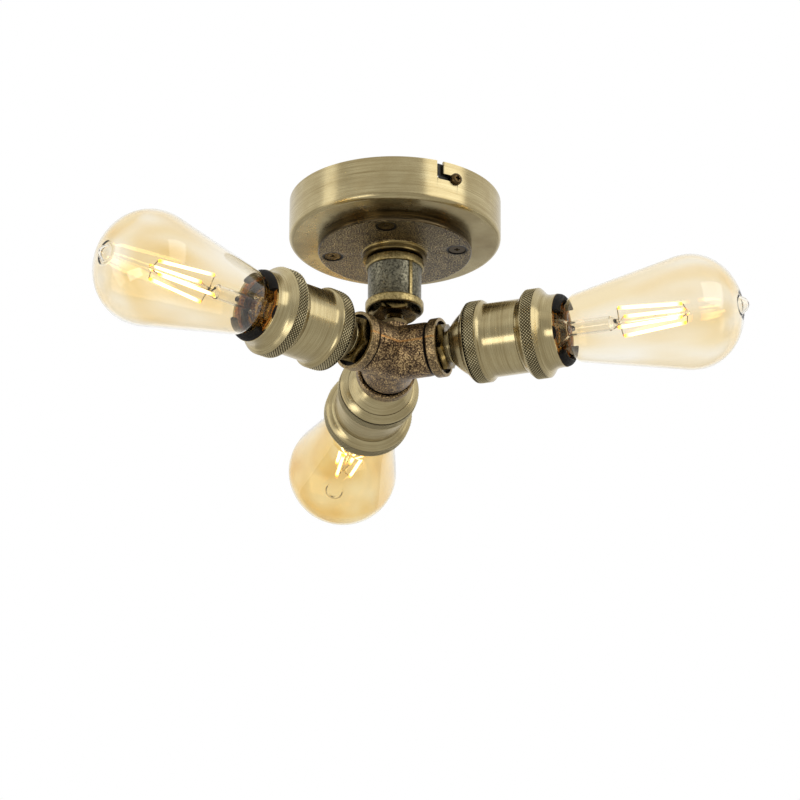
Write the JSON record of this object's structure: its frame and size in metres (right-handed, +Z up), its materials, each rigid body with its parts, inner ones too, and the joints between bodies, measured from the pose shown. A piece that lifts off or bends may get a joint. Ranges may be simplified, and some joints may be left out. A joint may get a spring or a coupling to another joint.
{
  "type": "semi flush ceiling light",
  "caption": "Semi flush ceiling light: ceiling rose, pipe-fitting stem and a cast Y carrying bare screw lamps in knurled brass lampholders.",
  "frame": {"origin": "centre of the ceiling plane, at the top of the ceiling rose", "axes": "+Z up into the ceiling; +X to the right of the picture; the camera looks from -Y and from below"},
  "size_m": [0.3578, 0.3459, 0.126],
  "materials": {
    "zinc_plated_steel": "zinc plated",
    "brass_screw": "turned",
    "nylon_terminal": "moulded nylon",
    "antique_brass": "brushed antique brass, lacquered",
    "patinated_casting": "cast, turned and bronzed",
    "pipe_steel": "threaded pipe",
    "turned_brass": "turned, aged",
    "bronzed_casting": "rough cast, bronze patina",
    "black_bakelite": "moulded, matt",
    "shell_brass": "drawn brass",
    "vitrite": "black glass",
    "amber_glass": "blown, amber tinted",
    "stem_glass": "clear",
    "light_filament": "phosphor coated light rod",
    "nickel_wire": "drawn wire"
  },
  "bodies": {
    "ceiling_bracket": {"mounting_bracket": "zinc_plated_steel", "side_screws": "brass_screw", "earth_screw": "brass_screw", "terminal_block": "nylon_terminal", "terminal_screws": "brass_screw"},
    "light_frame": {"ceiling_rose": "antique_brass", "pipe_flange": "patinated_casting", "flange_screws": "zinc_plated_steel", "flange_nuts": "zinc_plated_steel", "close_nipple": "pipe_steel", "pipe_coupling": "patinated_casting", "coupling_bush": "turned_brass", "stem_tube": "turned_brass", "stem_nut": "turned_brass", "pipe_tee": "bronzed_casting", "arm_bush_right": "turned_brass", "arm_tube_right": "turned_brass", "holder_cap_right": "antique_brass", "holder_shell_right": "antique_brass", "front_ring_right": "antique_brass", "insulator_right": "black_bakelite", "screw_shell_right": "shell_brass", "centre_contact_right": "shell_brass", "arm_bush_back": "turned_brass", "arm_tube_back": "turned_brass", "holder_cap_back": "antique_brass", "holder_shell_back": "antique_brass", "front_ring_back": "antique_brass", "insulator_back": "black_bakelite", "screw_shell_back": "shell_brass", "centre_contact_back": "shell_brass", "arm_bush_left": "turned_brass", "arm_tube_left": "turned_brass", "holder_cap_left": "antique_brass", "holder_shell_left": "antique_brass", "front_ring_left": "antique_brass", "insulator_left": "black_bakelite", "screw_shell_left": "shell_brass", "centre_contact_left": "shell_brass"},
    "lamp_slide_right": {"lamp_insulator_right": "vitrite"},
    "lamp_right": {"lamp_cap_right": "shell_brass", "glass_envelope_right": "amber_glass", "glass_stem_right": "stem_glass", "filaments_right": "light_filament", "support_wires_right": "nickel_wire"},
    "lamp_slide_back": {"lamp_insulator_back": "vitrite"},
    "lamp_back": {"lamp_cap_back": "shell_brass", "glass_envelope_back": "amber_glass", "glass_stem_back": "stem_glass", "filaments_back": "light_filament", "support_wires_back": "nickel_wire"},
    "lamp_slide_left": {"lamp_insulator_left": "vitrite"},
    "lamp_left": {"lamp_cap_left": "shell_brass", "glass_envelope_left": "amber_glass", "glass_stem_left": "stem_glass", "filaments_left": "light_filament", "support_wires_left": "nickel_wire"}
  },
  "joints": [
    {"name": "rose_twist", "type": "hinge", "parent": "ceiling_bracket", "child": "light_frame", "pos_m": [0, 0, 0], "axis": [0, 0, 1], "range_deg": [0, 9]},
    {"name": "lamp_travel_right", "type": "slide", "parent": "light_frame", "child": "lamp_slide_right", "axis": [0.9397, -0.342, 0], "range_m": [0, 0.02178]},
    {"name": "lamp_turn_right", "type": "hinge", "parent": "lamp_slide_right", "child": "lamp_right", "pos_m": [0, 0, -0.094], "axis": [0.9397, -0.342, 0], "range_deg": [0, 2160]},
    {"name": "lamp_travel_back", "type": "slide", "parent": "light_frame", "child": "lamp_slide_back", "axis": [-0.1736, 0.9848, 0], "range_m": [0, 0.02178]},
    {"name": "lamp_turn_back", "type": "hinge", "parent": "lamp_slide_back", "child": "lamp_back", "pos_m": [0, 0, -0.094], "axis": [-0.1736, 0.9848, 0], "range_deg": [0, 2160]},
    {"name": "lamp_travel_left", "type": "slide", "parent": "light_frame", "child": "lamp_slide_left", "axis": [-0.766, -0.6428, 0], "range_m": [0, 0.02178]},
    {"name": "lamp_turn_left", "type": "hinge", "parent": "lamp_slide_left", "child": "lamp_left", "pos_m": [0, 0, -0.094], "axis": [-0.766, -0.6428, 0], "range_deg": [0, 2160]}
  ],
  "couplings": [
    {"joint": "lamp_travel_right", "follows": "lamp_turn_right", "m_per_rad": 0.0005775},
    {"joint": "lamp_travel_back", "follows": "lamp_turn_back", "m_per_rad": 0.0005775},
    {"joint": "lamp_travel_left", "follows": "lamp_turn_left", "m_per_rad": 0.0005775}
  ]
}
